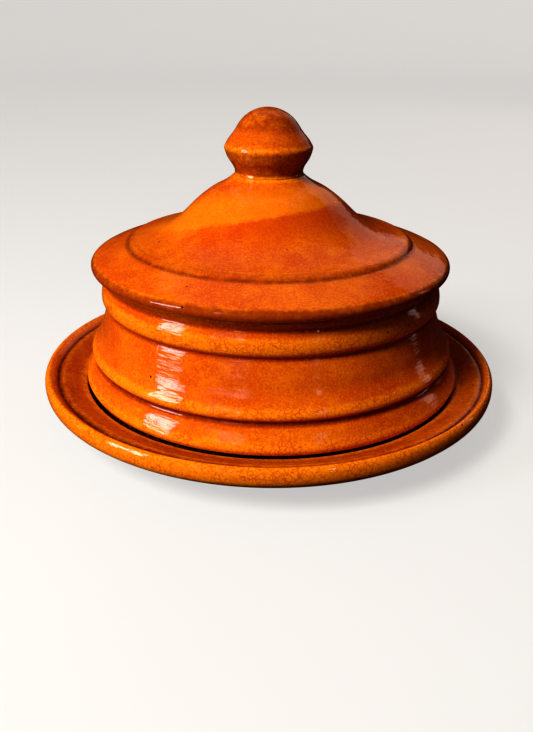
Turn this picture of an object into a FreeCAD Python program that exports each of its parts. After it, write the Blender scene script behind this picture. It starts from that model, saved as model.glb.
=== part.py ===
import FreeCAD, Part
import os

from FreeCAD import Vector

os.makedirs("parts", exist_ok=True)

# Butter crock in glazed earthenware: a saucer, a ribbed crock standing in the
# saucer's well, and a domed lid with its knob luted on. Millimetres, Z up.
# The saucer's foot stands on Z = 0 and every piece is turned about the Z axis.

# ---- driving sizes -----------------------------------------------------------
SAUCER_R = 90.0        # outer radius of the saucer's rolled rim
RIM_Z = 16.7           # height of the saucer's widest line
WELL_Z = 10.2          # floor of the saucer's well, where the crock's foot stands
CROCK_BASE_R = 74.8    # lowest rib of the crock, its widest line
SEAT_Z = 60.0          # top of the crock's rim, where the lid rests
LID_R = 68.8           # outer radius of the lid's lip
KNOB_SEAT_Z = 92.6     # plane where the knob is luted to the lid
KNOB_TOP_Z = 116.3     # top of the whole object

# ---- secondary sizes ---------------------------------------------------------
WALL = 5.2             # usual thickness of the thrown walls
MOUTH_R = 59.2         # inner radius of the crock's mouth
RING_GAP = 0.7         # play between the lid's locating ring and the mouth
RING_DEPTH = 6.2       # how far the locating ring hangs into the mouth
RING_WIDTH = 4.0
FOOT_R = 70.8          # outer radius of both foot rings
FOOT_WIDTH = 5.0
KNOB_SEAT_R = 13.2


def edge_through(points):
    """Two (radius, height) points make a line, three an arc, more a smooth curve."""
    vectors = [Vector(r, 0.0, z) for r, z in points]
    if len(vectors) == 2:
        return Part.makeLine(vectors[0], vectors[1])
    if len(vectors) == 3:
        return Part.Arc(vectors[0], vectors[1], vectors[2]).toShape()
    curve = Part.BSplineCurve()
    curve.interpolate(vectors)
    return curve.toShape()


def lathe(stretches):
    """Turn a closed half section about Z. Each stretch starts where the last one ended."""
    edges = []
    here = stretches[-1][-1]
    for stretch in stretches:
        edges.append(edge_through([here] + stretch))
        here = stretch[-1]
    section = Part.Face(Part.Wire(edges))
    return section.revolve(Vector(0, 0, 0), Vector(0, 0, 1), 360.0)


def save(shape, node):
    solid = Part.Solid(shape.Solids[0]) if shape.Solids else Part.Solid(shape)
    if solid.Volume < 0:
        solid.reverse()
    if not solid.isValid():
        raise RuntimeError(node + " is not a valid solid")
    solid.exportStep("parts/" + node + ".step")
    print(node, "volume cm3", round(solid.Volume / 1000.0, 1))


# ---- saucer ------------------------------------------------------------------
# Foot ring, sloping underside, rolled rim, a fine groove just inside the rim, a
# flange falling inwards and a round well with a flat floor.
rim_in = SAUCER_R - 3.1
flange_z = RIM_Z + 0.2
saucer = lathe([
    [(FOOT_R - 0.8, 0.0)],
    [(FOOT_R - 0.25, 0.25), (FOOT_R, 0.9)],
    [(FOOT_R + 0.9, 4.4), (FOOT_R + 3.4, 7.4), (FOOT_R + 8.7, 9.1), (SAUCER_R - 4.6, 10.7)],
    [(SAUCER_R - 3.3, 11.2), (SAUCER_R - 2.2, 12.0)],
    [(SAUCER_R - 0.7, 13.5), (SAUCER_R, RIM_Z), (SAUCER_R - 0.7, RIM_Z + 2.2),
     (SAUCER_R - 1.7, RIM_Z + 2.9), (rim_in + 0.4, RIM_Z + 2.3), (rim_in - 1.1, flange_z + 0.5)],
    [(rim_in - 1.5, flange_z + 0.2), (rim_in - 1.9, flange_z + 0.5)],
    [(84.2, 17.5), (82.2, 16.9), (79.8, 16.0), (77.6, 15.2), (75.6, 14.6)],
    [(74.9, 14.3), (74.6, 13.7)],
    [(74.1, 11.6)],
    [(73.5, 10.6), (72.2, WELL_Z)],
    [(0.0, WELL_Z)],
    [(0.0, WELL_Z - WALL)],
    [(FOOT_R - FOOT_WIDTH - 3.0, WELL_Z - WALL)],
    [(FOOT_R - FOOT_WIDTH - 0.9, WELL_Z - WALL - 0.9), (FOOT_R - FOOT_WIDTH, 2.2)],
    [(FOOT_R - FOOT_WIDTH, 0.6)],
    [(FOOT_R - FOOT_WIDTH + 0.2, 0.2), (FOOT_R - FOOT_WIDTH + 0.6, 0.0)],
])
save(saucer, "saucer")

# ---- crock -------------------------------------------------------------------
# A low pot: foot ring inset under the lowest rib, three ribs with a plain waist
# between the upper two, a narrow neck and a rounded rim.
edge_z = 14.9
crock = lathe([
    [(FOOT_R - 0.9, WELL_Z)],
    [(FOOT_R - 0.3, WELL_Z + 0.3), (FOOT_R, WELL_Z + 0.9)],
    [(FOOT_R + 0.1, edge_z - 1.6)],
    [(FOOT_R + 0.5, edge_z - 0.7), (FOOT_R + 1.5, edge_z - 0.4)],
    [(CROCK_BASE_R - 2.0, edge_z - 0.4)],
    [(CROCK_BASE_R - 1.1, edge_z - 0.1), (CROCK_BASE_R - 0.5, edge_z + 0.7)],
    [(CROCK_BASE_R, 16.9), (CROCK_BASE_R - 0.6, 18.9), (CROCK_BASE_R - 1.6, 20.9),
     (CROCK_BASE_R - 2.8, 22.8), (CROCK_BASE_R - 4.1, 24.1)],
    [(70.3, 24.9), (70.7, 25.7)],
    [(71.8, 27.5), (71.2, 29.3), (69.8, 31.2), (68.2, 33.4), (67.2, 35.6), (66.7, 37.4),
     (65.9, 40.0), (65.1, 42.6), (64.5, 44.3)],
    [(64.2, 45.1), (64.6, 45.8)],
    [(65.8, 47.4), (66.0, 49.2), (65.7, 51.3), (64.9, 53.1), (64.1, 54.3)],
    [(63.9, 55.0), (64.1, 55.8)],
    [(64.4, 57.2)],
    [(64.4, 59.2)],
    [(64.15, 59.75), (63.6, SEAT_Z)],
    [(MOUTH_R + 1.0, SEAT_Z)],
    [(MOUTH_R + 0.3, SEAT_Z - 0.3), (MOUTH_R, SEAT_Z - 1.0)],
    [(59.3, 52.0), (60.6, 44.0), (62.6, 36.0), (65.6, 29.0), (66.2, 24.5)],
    [(64.4, 20.0), (59.6, 17.9)],
    [(45.0, 17.0), (22.0, 16.8), (0.0, 16.8)],
    [(0.0, 12.0)],
    [(FOOT_R - FOOT_WIDTH - 2.5, 12.0)],
    [(FOOT_R - FOOT_WIDTH - 0.6, 11.6), (FOOT_R - FOOT_WIDTH, 10.9)],
    [(FOOT_R - FOOT_WIDTH + 0.1, 10.4), (FOOT_R - FOOT_WIDTH + 0.5, WELL_Z)],
])
save(crock, "crock")

# ---- lid ---------------------------------------------------------------------
# Thick lip hanging just outside the crock's rim, sloping flange, a groove and
# raised ring, an ogee dome, and a locating ring that drops into the mouth.
ring_out = MOUTH_R - RING_GAP
ring_in = ring_out - RING_WIDTH
lid = lathe([
    [(66.2, 58.9), (66.7, 58.7)],
    [(67.9, 59.3), (LID_R - 0.1, 60.4), (LID_R - 0.1, 61.8), (67.6, 63.1), (65.6, 64.1),
     (62.6, 65.2), (58.8, 66.6), (55.6, 67.7)],
    [(54.6, 67.9), (54.0, 68.4)],
    [(53.3, 69.2), (52.0, 69.7)],
    [(49.0, 70.3), (45.0, 71.4), (40.7, 72.9), (36.9, 75.0), (33.7, 77.4), (30.0, 80.9),
     (25.7, 84.6), (20.6, 88.0), (16.4, 90.2), (KNOB_SEAT_R, KNOB_SEAT_Z)],
    [(0.0, KNOB_SEAT_Z)],
    [(0.0, 85.2)],
    [(8.0, 84.9), (15.5, 83.2), (21.0, 80.0), (26.0, 75.6), (31.0, 70.9), (37.0, 67.4),
     (44.0, 65.2), (ring_in - 1.2, 63.0)],
    [(ring_in - 0.3, 62.3), (ring_in, 61.2)],
    [(ring_in, SEAT_Z - RING_DEPTH + 1.0)],
    [(ring_in + 0.3, SEAT_Z - RING_DEPTH + 0.3), (ring_in + 1.0, SEAT_Z - RING_DEPTH)],
    [(ring_out - 1.2, SEAT_Z - RING_DEPTH)],
    [(ring_out - 0.4, SEAT_Z - RING_DEPTH + 0.4), (ring_out, SEAT_Z - RING_DEPTH + 1.2)],
    [(ring_out, SEAT_Z - 0.6)],
    [(ring_out + 0.2, SEAT_Z - 0.2), (ring_out + 0.6, SEAT_Z)],
    [(64.8, SEAT_Z)],
    [(65.4, 59.7), (65.7, 59.3)],
])
save(lid, "lid")

# ---- knob --------------------------------------------------------------------
# Solid button with a domed top and a sharp waist line, pinched in below to the
# neck where it is luted to the dome.
lid_knob = lathe([
    [(KNOB_SEAT_R, KNOB_SEAT_Z)],
    [(12.8, 93.4), (12.9, 94.5), (13.5, 95.9), (14.5, 97.4), (15.6, 99.3), (16.2, 101.0)],
    [(16.45, 102.1), (16.1, 103.3)],
    [(15.0, 105.1), (13.5, 106.9), (12.2, 108.6), (10.9, 110.6), (9.1, 112.7), (6.0, 114.8),
     (3.0, 115.9), (0.0, KNOB_TOP_Z)],
    [(0.0, KNOB_SEAT_Z)],
])
save(lid_knob, "lid_knob")
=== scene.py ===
import math

import bpy
import numpy as np
from mathutils import Matrix, Vector


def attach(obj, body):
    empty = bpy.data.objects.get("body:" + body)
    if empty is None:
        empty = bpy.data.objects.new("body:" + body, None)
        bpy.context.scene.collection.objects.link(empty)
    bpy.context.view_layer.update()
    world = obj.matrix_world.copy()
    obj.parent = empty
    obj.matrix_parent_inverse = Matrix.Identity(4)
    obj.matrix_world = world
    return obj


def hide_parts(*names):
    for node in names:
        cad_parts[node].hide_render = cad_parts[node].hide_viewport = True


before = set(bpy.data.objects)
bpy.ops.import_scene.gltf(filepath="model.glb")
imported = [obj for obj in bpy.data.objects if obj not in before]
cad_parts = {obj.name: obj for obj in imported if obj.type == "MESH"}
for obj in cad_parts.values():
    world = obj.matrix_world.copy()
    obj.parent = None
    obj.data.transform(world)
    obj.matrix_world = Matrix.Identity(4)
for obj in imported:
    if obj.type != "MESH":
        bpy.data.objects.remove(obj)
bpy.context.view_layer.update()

# ---- sizes, in millimetres -----------------------------------------------------
SAUCER_R = 90.0
RIM_Z = 16.7
WELL_Z = 10.2
WALL = 5.2
FOOT_R = 70.8
FOOT_WIDTH = 5.0
CROCK_BASE_R = 74.8
EDGE_Z = 14.9
SEAT_Z = 60.0
MOUTH_R = 59.2
LID_R = 68.8
RING_OUT = MOUTH_R - 0.7
RING_IN = RING_OUT - 4.0
RING_Z = SEAT_Z - 6.2
KNOB_SEAT_R = 13.2
KNOB_SEAT_Z = 92.6
KNOB_TOP_Z = 116.3

# the pots stand slightly askew and are slightly uneven
LID_LEAN = -0.026      # drift along X for each millimetre above LEAN_FROM
CROCK_LEAN = -0.020
LEAN_FROM = 72.0
WELL_SHIFT = 0.8       # how far everything inside the saucer's rim lies off its middle
RIM_TOP_R = SAUCER_R - 1.5
SHIFT_OVER = 3.5       # the shift sets in at the rim's top and is complete this far inside
OVAL = 0.10            # how far a pot is off round
OVAL_FROM = 40.0       # fading out nearer the axis than this

TURNS = 300            # facets round each pot
FINE = 0.45            # spacing of the rings on curved stretches
COARSE = 3.0           # and on straight ones
BROAD = 2.4            # reach of the smoothing that finds hollows between ribs
SHARP = 0.8            # and of the one that finds thin lines

# ---- turning a half section into a pot -----------------------------------------


def straight(a, b):
    count = max(2, int(math.dist(a, b) / COARSE) + 2)
    return [np.add(a, np.subtract(b, a) * t) for t in np.linspace(0, 1, count)]


def arc(a, b, c):
    """The circle through three points, from a by way of b to c."""
    (ax, ay), (bx, by), (cx, cy) = a, b, c
    d = 2 * (ax * (by - cy) + bx * (cy - ay) + cx * (ay - by))
    sa, sb, sc = ax * ax + ay * ay, bx * bx + by * by, cx * cx + cy * cy
    x = (sa * (by - cy) + sb * (cy - ay) + sc * (ay - by)) / d
    y = (sa * (cx - bx) + sb * (ax - cx) + sc * (bx - ax)) / d
    start = math.atan2(ay - y, ax - x)
    middle = (math.atan2(by - y, bx - x) - start) % math.tau
    sweep = (math.atan2(cy - y, cx - x) - start) % math.tau
    if middle > sweep:
        sweep -= math.tau
    radius = math.hypot(ax - x, ay - y)
    count = max(5, int(abs(sweep) * radius / FINE) + 2)
    turns = start + sweep * np.linspace(0, 1, count)
    return [(x + radius * math.cos(t), y + radius * math.sin(t)) for t in turns]


def curve(points):
    """A natural cubic spline through the points, by chord length."""
    p = np.array(points, float)
    h = np.hypot(*np.diff(p, axis=0).T)
    t = np.concatenate([[0], np.cumsum(h)])
    n = len(p)
    system = np.eye(n)
    right = np.zeros((n, 2))
    for i in range(1, n - 1):
        system[i, i - 1:i + 2] = h[i - 1], 2 * (h[i - 1] + h[i]), h[i]
        right[i] = 6 * ((p[i + 1] - p[i]) / h[i] - (p[i] - p[i - 1]) / h[i - 1])
    bend = np.linalg.solve(system, right)
    out = []
    for s in np.linspace(0, t[-1], int(t[-1] / FINE) + 2):
        i = min(int(np.searchsorted(t, s, side="right")) - 1, n - 2)
        a, b = t[i + 1] - s, s - t[i]
        cubic = (bend[i] * a ** 3 + bend[i + 1] * b ** 3) / (6 * h[i])
        ends = ((p[i] / h[i] - bend[i] * h[i] / 6) * a
                + (p[i + 1] / h[i] - bend[i + 1] * h[i] / 6) * b)
        out.append(cubic + ends)
    return out


def outline(start, stretches):
    """Sampled (radius, height) points, and a tag for each: what its stretch is covered with."""
    points, tags = [np.array(start, float)], [stretches[0][0]]
    for tag, *stretch in stretches:
        ends = [tuple(points[-1])] + stretch
        if len(ends) == 2:
            run = straight(*ends)
        elif len(ends) == 3:
            run = arc(*ends)
        else:
            run = curve(ends)
        points += [np.array(q, float) for q in run[1:]]
        tags += [tag] * (len(run) - 1)
    return np.array(points), tags


def hollowness(points, reach):
    """How far each point lies below the smoothed outline, in mm: positive in grooves."""
    step = 0.15
    d = np.concatenate([[0], np.cumsum(np.hypot(*np.diff(points, axis=0).T))])
    even = np.arange(0, d[-1], step)
    line = np.stack([np.interp(even, d, points[:, k]) for k in (0, 1)], 1)
    half = int(3 * reach / step)
    weights = np.exp(-0.5 * (np.arange(-half, half + 1) * step / reach) ** 2)
    weights /= weights.sum()
    padded = np.pad(line, ((half, half), (0, 0)), mode="edge")
    smooth = np.stack([np.convolve(padded[:, k], weights, "valid") for k in (0, 1)], 1)
    along = np.gradient(smooth, axis=0)
    along /= np.maximum(np.hypot(*along.T), 1e-9)[:, None]
    out = np.stack([along[:, 1], -along[:, 0]], 1)
    depth = ((smooth - line) * out).sum(1)
    return np.interp(d, even, depth)


def feathered(points, tags, shares, otherwise, reach):
    """Each point's share by its tag, with the edges softened along the outline."""
    values = np.array([shares.get(tag, otherwise) for tag in tags])
    d = np.concatenate([[0], np.cumsum(np.hypot(*np.diff(points, axis=0).T))])
    w = np.exp(-0.5 * ((d[:, None] - d[None, :]) / reach) ** 2)
    gaps = np.gradient(d)
    return (w * gaps * values).sum(1) / (w * gaps).sum(1)


def turned(name, start, stretches, lean=0.0, off_centre=0.0):
    """A pot turned from a half section that starts and ends on the axis.

    It has the slight unevenness of a hand on a wheel, which only ever goes inwards.
    """
    points, tags = outline(start, stretches)
    covers = {
        "groove": hollowness(points, BROAD) * feathered(points, tags, RELIEF, 1.0, 0.5),
        "hairline": hollowness(points, SHARP),
        "bare": feathered(points, tags, {CLAY: 1.0}, 0.0, 0.35),
        # brown glaze; on the lid's downward edge it is partly painted shade
        "brown_and_shade": feathered(points, tags, BROWN_AND_SHADE_SHARE, 0.0, 1.1),
        # painted shade: near black in the gap under the crock, in grooves, under the lid's edge and
        # the knob, thinly over the saucer's flange
        "painted_shade": feathered(points, tags, PAINTED_SHADE_SHARE, 0.0, 0.6),
    }
    rings = points[1:-1]
    turn = np.arange(TURNS) * math.tau / TURNS
    seed = sum(ord(ch) for ch in name)
    wave = np.sin(2 * turn + seed) + 0.5 * np.sin(3 * turn + 2.1 * seed)
    verts = []
    for r, z in rings:
        radius = r - OVAL * (0.75 - 0.5 * wave) * min(1.0, r / OVAL_FROM)
        inside_rim = min(1.0, max(0.0, (RIM_TOP_R - r) / SHIFT_OVER))
        shift = off_centre * inside_rim
        verts.append(np.stack([radius * np.cos(turn) + shift, radius * np.sin(turn),
                               np.full(TURNS, z)], 1))
    verts = np.concatenate(verts)
    verts[:, 0] += lean * (verts[:, 2] - LEAN_FROM)
    faces = []
    count = len(rings)
    around = [(j, (j + 1) % TURNS) for j in range(TURNS)]
    for i in range(count - 1):
        a, b = i * TURNS, (i + 1) * TURNS
        faces += [(a + j, a + k, b + k, b + j) for j, k in around]
    first, last = len(verts), (count - 1) * TURNS
    faces += [(k, j, first) for j, k in around]
    faces += [(last + j, last + k, first + 1) for j, k in around]
    poles = [[lean * (z - LEAN_FROM) + off_centre, 0.0, z] for z in (points[0][1], points[-1][1])]
    mesh = bpy.data.meshes.new(name)
    mesh.from_pydata((np.concatenate([verts, poles]) * 0.001).tolist(), [], faces)
    mesh.shade_smooth()
    for label, values in covers.items():
        per_vertex = np.concatenate([np.repeat(values[1:-1], TURNS), values[[0, -1]]])
        layer = mesh.attributes.new(label, "FLOAT", "POINT")
        layer.data.foreach_set("value", per_vertex.astype(np.float32))
    piece = bpy.data.objects.new(name, mesh)
    bpy.context.collection.objects.link(piece)
    return piece


# ---- the four pots -------------------------------------------------------------
# what a stretch of outline is covered with, how brown that glaze is (partly painted shade on the
# lid's downward edge), how much painted shade darkens it, and how much of the stretch's own hollows
# and crests the glaze shows
G, CLAY, LIP, BELT, CROWN, ROLL = "glaze", "clay", "lip", "belt", "crown", "roll"
FLANGE, DEEP, UNDER, CLEFT = "flange", "deep", "under", "cleft"
SEAM, RING, STEP, CORNER = "seam", "ring", "step", "corner"
# brown glaze on the knob; on the lid's edge, which faces down, the brown is partly painted shade
BROWN_AND_SHADE_SHARE = {LIP: 1.0, CROWN: 0.66, BELT: 0.34}
# painted shade: how much near black each stretch gets, in the gap under the crock, in grooves,
# under the lid's edge and the knob, and thinly over the saucer's flange
PAINTED_SHADE_SHARE = {FLANGE: 0.27, DEEP: 0.10, UNDER: 0.48, CLEFT: 0.60, SEAM: 0.60, RING: 0.56,
              STEP: 0.20, CORNER: 1.0}
RELIEF = {ROLL: 0.1, RING: 0.1, STEP: 0.1, BELT: 0.3, CLEFT: 1.3}
rim_in = SAUCER_R - 3.1
flange_z = RIM_Z + 0.2
foot_in = FOOT_R - FOOT_WIDTH

saucer = turned("saucer_pot", (0.0, WELL_Z - WALL), [
    (G, (foot_in - 3.0, WELL_Z - WALL)),
    (G, (foot_in - 0.9, WELL_Z - WALL - 0.9), (foot_in, 2.2)),
    (G, (foot_in, 0.6)),
    (CLAY, (foot_in + 0.2, 0.2), (foot_in + 0.6, 0.0)),
    (CLAY, (FOOT_R - 0.8, 0.0)),
    (CLAY, (FOOT_R - 0.25, 0.25), (FOOT_R, 0.9)),
    (G, (FOOT_R + 0.9, 4.4), (FOOT_R + 3.4, 7.4), (FOOT_R + 8.7, 9.1), (SAUCER_R - 4.6, 10.7)),
    (CLAY, (SAUCER_R - 3.3, 11.2), (SAUCER_R - 2.2, 12.0)),
    (CLAY, (SAUCER_R - 1.6, 12.55)),
    (G, (SAUCER_R - 0.7, 13.5), (SAUCER_R, RIM_Z), (SAUCER_R - 0.7, RIM_Z + 2.2),
     (SAUCER_R - 1.7, RIM_Z + 2.9), (rim_in + 0.4, RIM_Z + 2.3), (rim_in - 1.1, flange_z + 0.5)),
    (CORNER, (rim_in - 1.5, flange_z + 0.2), (rim_in - 1.9, flange_z + 0.5)),
    (FLANGE, (84.2, 17.5), (82.2, 16.9), (79.8, 16.0), (77.6, 15.2), (75.6, 14.6)),
    (G, (74.9, 14.3), (74.6, 13.7)),
    (CORNER, (74.1, 11.6)),
    (CORNER, (73.5, 10.6), (72.2, WELL_Z)),
    (CORNER, (69.5, WELL_Z)),
    (G, (0.0, WELL_Z)),
], off_centre=WELL_SHIFT)

crock = turned("crock_pot", (0.0, 12.0), [
    (G, (foot_in - 2.5, 12.0)),
    (G, (foot_in - 0.6, 11.6), (foot_in, 10.9)),
    (CLAY, (foot_in + 0.1, 10.4), (foot_in + 0.5, WELL_Z)),
    (CLAY, (FOOT_R - 0.9, WELL_Z)),
    (CORNER, (FOOT_R - 0.3, WELL_Z + 0.3), (FOOT_R, WELL_Z + 0.9)),
    (CORNER, (FOOT_R + 0.1, EDGE_Z - 1.6)),
    (CORNER, (FOOT_R + 0.5, EDGE_Z - 0.7), (FOOT_R + 1.5, EDGE_Z - 0.4)),
    (CORNER, (CROCK_BASE_R - 2.0, EDGE_Z - 0.4)),
    (G, (CROCK_BASE_R - 1.1, EDGE_Z - 0.1), (CROCK_BASE_R - 0.5, EDGE_Z + 0.7)),
    (G, (CROCK_BASE_R, 16.9), (CROCK_BASE_R - 0.6, 18.9), (CROCK_BASE_R - 1.6, 20.9),
     (CROCK_BASE_R - 2.8, 22.8), (CROCK_BASE_R - 4.1, 24.1)),
    (CLEFT, (70.3, 24.9), (70.7, 25.7)),
    (G, (71.8, 27.5), (71.2, 29.3), (69.8, 31.2), (68.2, 33.4), (67.2, 35.6), (66.7, 37.4),
     (65.9, 40.0), (65.1, 42.6), (64.5, 44.3)),
    (G, (64.2, 45.1), (64.6, 45.8)),
    (G, (65.8, 47.4), (66.0, 49.2), (65.7, 51.3), (64.9, 53.1), (64.1, 54.3)),
    (G, (63.9, 55.0), (64.1, 55.8)),
    (DEEP, (64.4, 57.2)),
    (DEEP, (64.4, 59.2)),
    (CLAY, (64.15, 59.75), (63.6, SEAT_Z)),
    (CLAY, (MOUTH_R + 1.0, SEAT_Z)),
    (CLAY, (MOUTH_R + 0.3, SEAT_Z - 0.3), (MOUTH_R, SEAT_Z - 1.0)),
    (G, (59.3, 52.0), (60.6, 44.0), (62.6, 36.0), (65.6, 29.0), (66.2, 24.5)),
    (G, (64.4, 20.0), (59.6, 17.9)),
    (G, (45.0, 17.0), (22.0, 16.8), (0.0, 16.8)),
], CROCK_LEAN)

lid = turned("lid_pot", (0.0, 85.2), [
    (G, (8.0, 84.9), (15.5, 83.2), (21.0, 80.0), (26.0, 75.6), (31.0, 70.9), (37.0, 67.4),
     (44.0, 65.2), (RING_IN - 1.2, 63.0)),
    (G, (RING_IN - 0.3, 62.3), (RING_IN, 61.2)),
    (G, (RING_IN, RING_Z + 1.0)),
    (CLAY, (RING_IN + 0.3, RING_Z + 0.3), (RING_IN + 1.0, RING_Z)),
    (CLAY, (RING_OUT - 1.2, RING_Z)),
    (CLAY, (RING_OUT - 0.4, RING_Z + 0.4), (RING_OUT, RING_Z + 1.2)),
    (CLAY, (RING_OUT, SEAT_Z - 0.6)),
    (CLAY, (RING_OUT + 0.2, SEAT_Z - 0.2), (RING_OUT + 0.6, SEAT_Z)),
    (CLAY, (64.8, SEAT_Z)),
    (G, (65.4, 59.7), (65.7, 59.3)),
    (LIP, (66.2, 58.9), (66.7, 58.7)),
    (LIP, (67.9, 59.3), (LID_R - 0.1, 60.4), (LID_R - 0.1, 61.8), (67.6, 63.1)),
    (ROLL, (65.6, 64.1), (62.6, 65.2), (58.8, 66.6), (55.6, 67.7)),
    (RING, (54.6, 67.9), (54.0, 68.4)),
    (STEP, (53.3, 69.2), (52.0, 69.7)),
    (G, (49.0, 70.3), (45.0, 71.4), (40.7, 72.9), (36.9, 75.0), (33.7, 77.4), (30.0, 80.9),
     (25.7, 84.6), (20.6, 88.0), (16.4, 90.2), (KNOB_SEAT_R, KNOB_SEAT_Z)),
    (G, (0.0, KNOB_SEAT_Z)),
], LID_LEAN)

knob = turned("lid_knob_pot", (0.0, KNOB_SEAT_Z), [
    (G, (KNOB_SEAT_R, KNOB_SEAT_Z)),
    (UNDER, (12.8, 93.4), (12.9, 94.5), (13.5, 95.9), (14.5, 97.4), (15.6, 99.3), (16.2, 101.0)),
    (SEAM, (16.38, 101.6)),
    (G, (16.45, 102.4), (16.1, 103.3)),
    (BELT, (15.0, 105.1), (13.5, 106.9), (12.2, 108.6)),
    (CROWN, (10.9, 110.6), (9.1, 112.7), (6.0, 114.8), (3.0, 115.9), (0.0, KNOB_TOP_Z)),
], LID_LEAN)

# ---- glaze ---------------------------------------------------------------------


class Tree:
    """Short names for building a node tree."""

    def __init__(self, material):
        material.use_nodes = True
        self.nodes = material.node_tree.nodes
        self.links = material.node_tree.links

    def add(self, kind, settings=None, **inputs):
        node = self.nodes.new("ShaderNode" + kind)
        for key, value in (settings or {}).items():
            setattr(node, key, value)
        for key, value in inputs.items():
            self.put(node.inputs[key.replace("_", " ")], value)
        return node

    def put(self, socket, value):
        if isinstance(value, bpy.types.NodeSocket):
            self.links.new(value, socket)
        else:
            socket.default_value = value

    def math(self, operation, a, b=0.0, clamp=False):
        node = self.add("Math", {"operation": operation, "use_clamp": clamp})
        self.put(node.inputs[0], a)
        self.put(node.inputs[1], b)
        return node.outputs[0]

    def between(self, value, low, high, a=0.0, b=1.0):
        """Smoothly from a to b as value goes from low to high."""
        node = self.add("MapRange", {"interpolation_type": "SMOOTHSTEP"})
        for socket, number in enumerate((value, low, high, a, b)):
            self.put(node.inputs[socket], number)
        return node.outputs[0]

    def mix(self, share, a, b):
        node = self.add("Mix", {"data_type": "RGBA"})
        self.put(node.inputs[0], share)
        self.put(node.inputs[6], a)
        self.put(node.inputs[7], b)
        return node.outputs[2]

    def noise(self, vector, scale, detail=2.0, rough=0.5, distortion=0.0):
        node = self.add("TexNoise", Vector=vector, Scale=scale, Detail=detail,
                        Roughness=rough, Distortion=distortion)
        return node.outputs[0]

    def cells(self, vector, scale, feature, output):
        node = self.add("TexVoronoi", {"feature": feature}, Vector=vector, Scale=scale)
        return node.outputs[output]

    def attribute(self, name):
        return self.add("Attribute", {"attribute_name": name}).outputs["Fac"]

    def bump(self, height, distance, normal=None):
        node = self.add("Bump", Height=height, Distance=distance, Strength=1.0)
        if normal is not None:
            self.put(node.inputs["Normal"], normal)
        return node.outputs[0]


ORANGE = (0.63, 0.126, 0.004, 1)
AMBER = (0.84, 0.232, 0.006, 1)
RUSSET = (0.46, 0.050, 0.003, 1)
POOLED = (0.25, 0.016, 0.001, 1)
# brown glaze, and on the lid's downward edge painted shade as well
BROWN_AND_SHADE = (0.22, 0.026, 0.003, 1)
# painted shade, near black
SHADE_BLACK = (0.030, 0.005, 0.001, 1)
IRON = (0.020, 0.006, 0.003, 1)
BARE_CLAY = (0.46, 0.30, 0.19, 1)
DARK_CLAY = (0.34, 0.20, 0.12, 1)
WEB = (0.46, 0.046, 0.003, 1)
# painted shadow on the lid's dome, below the slanting line
DOME_SHADOW_TONE = (0.42, 0.030, 0.002, 1)
SHADOW_EDGE_SLOPE = (-0.17, 0.18, 1.0)    # normal of the slanting plane along which the painted shadow's edge crosses the dome
SHADOW_EDGE_HEIGHT = 0.0777
NETWORK = 540.0                   # cells of the crackle to a metre
SPECKS = 150.0                    # and of the iron specks
CROOKED = 0.0016                  # how far the crackle's lines are bent
COAT = 0.75


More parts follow.
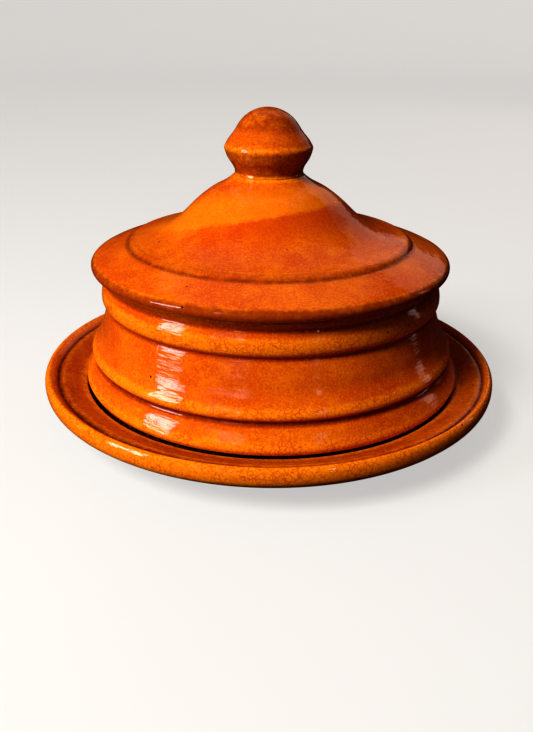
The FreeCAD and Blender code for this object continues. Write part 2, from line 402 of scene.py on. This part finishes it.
def amber_glaze():
    material = bpy.data.materials.new("amber_glaze")
    t = Tree(material)
    shader = t.nodes["Principled BSDF"]
    place = t.add("TexCoord").outputs["Object"]
    groove = t.attribute("groove")
    hairline = t.attribute("hairline")
    bare = t.attribute("bare")
    brown_and_shade = t.attribute("brown_and_shade")
    painted_shade = t.attribute("painted_shade")

    # this hardly changes on the way round, so noise on it draws the rings left by the wheel
    split = t.add("SeparateXYZ", Vector=place)
    x, y, z = split.outputs
    radius = t.math("SQRT", t.math("ADD", t.math("MULTIPLY", x, x), t.math("MULTIPLY", y, y)))
    wheel = t.add("CombineXYZ", X=t.math("MULTIPLY", x, 0.06), Y=t.math("MULTIPLY", y, 0.06),
                  Z=t.math("ADD", z, t.math("MULTIPLY", radius, 0.6))).outputs[0]

    cloud = t.noise(place, 42.0, 4.0, 0.55)
    blotch = t.noise(place, 165.0, 3.0, 0.6, 0.3)
    runs = t.noise(place, 420.0, 3.0, 0.6, 0.4)
    fleck = t.noise(place, 880.0, 3.0, 0.75)
    grain = t.noise(place, 1500.0, 2.0, 0.65)
    streak = t.noise(wheel, 1300.0, 2.0, 0.6)

    # convex stretches let the pale body through, hollows hold thick dark glaze
    wander = t.math("ADD", t.math("MULTIPLY", t.math("SUBTRACT", blotch, 0.5), 0.40),
                    t.math("MULTIPLY", t.math("SUBTRACT", runs, 0.5), 0.40))
    depth = t.math("ADD", groove, wander)
    crest = t.between(depth, -0.03, -0.33)
    pool = t.between(depth, 0.16, 0.66)
    seam = t.between(t.math("ADD", hairline, t.math("MULTIPLY", wander, 0.2)), 0.05, 0.16)

    ground = t.mix(t.between(cloud, 0.36, 0.64, 0.25, 1.0), RUSSET, ORANGE)
    colour = t.mix(t.math("MULTIPLY", crest, 0.85), ground, AMBER)
    colour = t.mix(t.between(blotch, 0.45, 0.75, 0.0, 0.30), colour, AMBER)
    colour = t.mix(t.math("MULTIPLY", pool, 0.75), colour, POOLED)
    colour = t.mix(t.math("MULTIPLY", seam, 0.36), colour, POOLED)

    # fine network where the glaze broke over the ribs, and granular mottling all over
    bent = t.add("VectorMath", {"operation": "MULTIPLY_ADD"})
    t.put(bent.inputs[0], t.add("TexNoise", Vector=place, Scale=500.0, Detail=1.0).outputs[1])
    bent.inputs[1].default_value = (CROOKED, CROOKED, CROOKED)
    t.put(bent.inputs[2], place)
    edge = t.cells(bent.outputs[0], NETWORK, "DISTANCE_TO_EDGE", "Distance")
    web = t.between(edge, 0.13, 0.02)
    patches = t.between(t.noise(place, 130.0, 3.0, 0.6), 0.38, 0.60)
    web = t.math("MULTIPLY", web,
                 t.math("MULTIPLY", patches, t.math("ADD", crest, 0.40), clamp=True))
    colour = t.mix(t.math("MULTIPLY", web, 0.66), colour, WEB)
    colour = t.mix(t.between(fleck, 0.54, 0.66, 0.0, 0.42), colour, WEB)
    colour = t.mix(t.between(grain, 0.50, 0.68, 0.0, 0.6), colour, RUSSET)
    colour = t.mix(t.between(grain, 0.50, 0.34, 0.0, 0.32), colour, AMBER)
    colour = t.mix(t.between(streak, 0.55, 0.75, 0.0, 0.08), colour, RUSSET)

    # painted shadow and painted light: below a slanting line across the dome of the lid the glaze
    # is painted darker, and just above it a lit patch is painted in amber
    level = t.add("VectorMath", {"operation": "DOT_PRODUCT"}, Vector=place)
    level.inputs[1].default_value = SHADOW_EDGE_SLOPE
    above = t.math("SUBTRACT", level.outputs["Value"], SHADOW_EDGE_HEIGHT)
    above = t.math("ADD", above, t.math("MULTIPLY", wander, 0.006))
    on_dome = t.between(z, 0.0695, 0.0725)
    dome_shadow = t.math("MULTIPLY", t.between(above, 0.0005, -0.0012), t.between(above, -0.014, -0.002))
    dome_shadow = t.math("MULTIPLY", dome_shadow, t.between(x, -0.034, -0.004))
    colour = t.mix(t.math("MULTIPLY", t.math("MULTIPLY", dome_shadow, on_dome), 0.6), colour, DOME_SHADOW_TONE)
    # painted light: a lit patch in amber just above the line
    dome_lit_patch = t.math("MULTIPLY", t.between(above, -0.0010, 0.0010), t.between(above, 0.012, 0.006))
    colour = t.mix(t.math("MULTIPLY", t.math("MULTIPLY", dome_lit_patch, on_dome), 0.35), colour, AMBER)

    # brown glaze on the lid's edge and thinly on the knob (darker on the lid's downward edge as
    # painted shade), and painted shade, near black, in the gap under the crock, in grooves, under
    # the lid's edge and the knob, and thinly over the saucer's flange
    ragged_brown_and_shade = t.between(t.math("ADD", brown_and_shade, t.math("MULTIPLY", wander, 1.2)), 0.1, 0.9)
    patchy = t.math("MULTIPLY", ragged_brown_and_shade, t.between(runs, 0.30, 0.62, 0.80, 1.0))
    colour = t.mix(t.math("MULTIPLY", patchy, 0.92), colour, BROWN_AND_SHADE)
    shade_amount = t.math("MULTIPLY", painted_shade, t.between(runs, 0.28, 0.60, 0.6, 1.2), clamp=True)
    colour = t.mix(shade_amount, colour, SHADE_BLACK)

    # iron specks and pinholes
    spot = t.cells(place, SPECKS, "F1", "Distance")
    chance = t.add("SeparateXYZ", Vector=t.cells(place, SPECKS, "F1", "Color")).outputs[0]
    chance = t.math("ADD", chance, t.math("MULTIPLY", brown_and_shade, 0.15))
    size = t.between(chance, 0.72, 1.0, 0.0, 0.075)
    speck = t.between(t.math("SUBTRACT", spot, size), 0.012, -0.012)
    speck = t.math("MULTIPLY", speck, t.between(chance, 0.72, 0.74))
    colour = t.mix(t.math("MULTIPLY", speck, 0.9), colour, IRON)

    clay = t.mix(t.between(grain, 0.4, 0.6, 0.0, 0.5), BARE_CLAY, DARK_CLAY)
    ragged = t.between(t.math("ADD", bare, t.math("MULTIPLY", wander, 0.6)), 0.42, 0.58)
    colour = t.mix(ragged, colour, clay)
    t.put(shader.inputs["Base Color"], colour)

    t.put(shader.inputs["Coat Weight"], t.math("MULTIPLY", t.math("SUBTRACT", 1.0, ragged), COAT))
    shader.inputs["Coat Roughness"].default_value = 0.06
    shader.inputs["Coat IOR"].default_value = 1.5
    shader.inputs["Specular IOR Level"].default_value = 0.0
    shader.inputs["Roughness"].default_value = 0.6

    # the clay below only swells, the clear coat also follows the fine rings of the wheel
    swell = t.bump(t.noise(place, 60.0, 2.0, 0.5), 0.0003)
    skin = t.bump(t.noise(place, 620.0, 2.0, 0.5), 0.00004, swell)
    pits = t.bump(t.math("SUBTRACT", 1.0, speck), 0.0001, skin)
    t.put(shader.inputs["Normal"], pits)
    t.put(shader.inputs["Coat Normal"], t.bump(streak, 0.00024, pits))
    return material


glaze = amber_glaze()
for piece, node, body in ((saucer, "saucer", "saucer"), (crock, "crock", "crock"),
                          (lid, "lid", "lid"), (knob, "lid_knob", "lid")):
    piece.data.materials.append(glaze)
    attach(piece, body)
    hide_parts(node)

# ---- floor: a pale disc that sweeps up into a low wall all round, in metres --------
FLAT = 2.2
BEND = 1.5
WALL_HEIGHT = 0.5
FLOOR_SHADES = ((0.26, 0.255, 0.245, 1), (0.28, 0.275, 0.265, 1))


def cove():
    section = [(0.2, 0.0), (0.6, 0.0), (FLAT, 0.0)]
    section += [(FLAT + BEND * math.sin(a), BEND - BEND * math.cos(a))
                for a in np.linspace(0, math.pi / 2, 24)[1:]]
    section.append((FLAT + BEND, BEND + WALL_HEIGHT))
    count = 96
    verts = [(0.0, 0.0, 0.0)]
    for r, z in section:
        verts += [(r * math.cos(a), r * math.sin(a), z)
                  for a in np.arange(count) * math.tau / count]
    faces = [(0, 1 + j, 1 + (j + 1) % count) for j in range(count)]
    for i in range(len(section) - 1):
        a, b = 1 + i * count, 1 + (i + 1) * count
        faces += [(a + j, b + j, b + (j + 1) % count, a + (j + 1) % count) for j in range(count)]
    mesh = bpy.data.meshes.new("floor")
    mesh.from_pydata(verts, [], faces)
    mesh.shade_smooth()
    floor = bpy.data.objects.new("floor", mesh)
    bpy.context.collection.objects.link(floor)
    material = bpy.data.materials.new("pale_floor")
    t = Tree(material)
    place = t.add("TexCoord").outputs["Object"]
    shade = t.mix(t.noise(place, 9.0, 3.0), *FLOOR_SHADES)
    shader = t.nodes["Principled BSDF"]
    t.put(shader.inputs["Base Color"], shade)
    shader.inputs["Roughness"].default_value = 0.7
    shader.inputs["Emission Color"].default_value = (1.0, 0.985, 0.965, 1)
    shader.inputs["Emission Strength"].default_value = 0.41
    mesh.materials.append(material)
    floor.visible_glossy = False
    floor.visible_diffuse = False
    return floor


cove()

# ---- light: azimuth 0 stands where the camera is, positive to the camera's left --------
SUNLIT = (1.0, 0.97, 0.92)
WINDOW_LIGHT = (0.94, 0.94, 1.0)
WALL_LIGHT = (1.0, 0.74, 0.66)


def toward(azimuth, elevation):
    a, e = math.radians(azimuth), math.radians(elevation)
    return Vector((-math.sin(a) * math.cos(e), -math.cos(a) * math.cos(e), math.sin(e)))


def hang(name, light, facing, colour, mirrored):
    """The lamp's object, turned so that it shines along facing."""
    light.color = colour
    lamp = bpy.data.objects.new(name, light)
    lamp.rotation_euler = facing.to_track_quat("-Z", "Y").to_euler()
    lamp.visible_glossy = mirrored
    bpy.context.collection.objects.link(lamp)
    return lamp


def panel(name, azimuth, elevation, distance, width, height, power, colour=(1, 1, 1),
          mirrored=True):
    """A soft box that looks at the middle of the object."""
    light = bpy.data.lights.new(name, "AREA")
    light.shape = "RECTANGLE"
    light.size, light.size_y = width, height
    light.energy = power
    aim = Vector((0.0, 0.0, 0.05))
    place = aim + distance * toward(azimuth, elevation)
    lamp = hang(name, light, aim - place, colour, mirrored)
    lamp.location = place
    lamp.visible_camera = False


def distant(name, azimuth, elevation, energy, colour):
    """Even light from far away, which the glaze doesn't mirror."""
    light = bpy.data.lights.new(name, "SUN")
    light.energy = energy
    light.angle = math.radians(13)
    hang(name, light, -toward(azimuth, elevation), colour, False)


# these only give light
distant("key", 42, 43, 1.25, SUNLIT)
distant("back_fill", -155, 14, 1.0, (1.0, 0.92, 0.85))
panel("near_key", 42, 43, 0.55, 0.13, 0.13, 1.60, SUNLIT, mirrored=False)
panel("overhead", 0, 88, 1.6, 1.4, 1.4, 0.35, mirrored=False)
# and these are what the glaze mirrors
for side, row in ((-1, -1), (1, -1), (-1, 1), (1, 1)):
    panel("window_pane", 66 + 4.3 * side, 20 + 6.0 * row, 1.0, 0.13, 0.19, 1.05, WINDOW_LIGHT)
panel("small_window", 18, 24, 1.1, 0.12, 0.013, 0.16)
panel("strip", 27, 27, 1.1, 0.34, 0.016, 0.42)
panel("lamp", -29, 24, 1.1, 0.06, 0.018, 0.10)
panel("doorway", -105, 12, 1.3, 0.13, 0.50, 0.32, WALL_LIGHT)
panel("far_wall", -149, 25, 1.3, 0.60, 0.60, 0.31, WALL_LIGHT)
panel("far_wall_glow", -143, 26, 1.35, 1.00, 0.62, 0.53, WALL_LIGHT)
panel("ceiling", 180, 60, 1.4, 1.2, 1.0, 0.9, (1.0, 0.80, 0.72))

world = bpy.data.worlds.new("studio")
world.use_nodes = True
background = world.node_tree.nodes["Background"]
background.inputs["Color"].default_value = (1.0, 0.62, 0.48, 1)
background.inputs["Strength"].default_value = 0.02
bpy.context.scene.world = world
bpy.context.scene.view_settings.view_transform = "Standard"
bpy.context.scene.view_settings.look = "High Contrast"

# ---- camera --------------------------------------------------------------------
camera = bpy.data.objects.new("camera", bpy.data.cameras.new("camera"))
bpy.context.collection.objects.link(camera)
camera.data.sensor_width = 36.0
camera.data.lens = 36.04
camera.data.clip_start = 0.01
camera.location = (-0.0009, -0.2790, 0.1423)
tilt = Matrix.Rotation(math.radians(90.0 - 24.82), 3, "X")
roll = Matrix.Rotation(math.radians(0.5), 3, "Z")
camera.rotation_euler = (tilt @ roll).to_euler()
bpy.context.scene.camera = camera
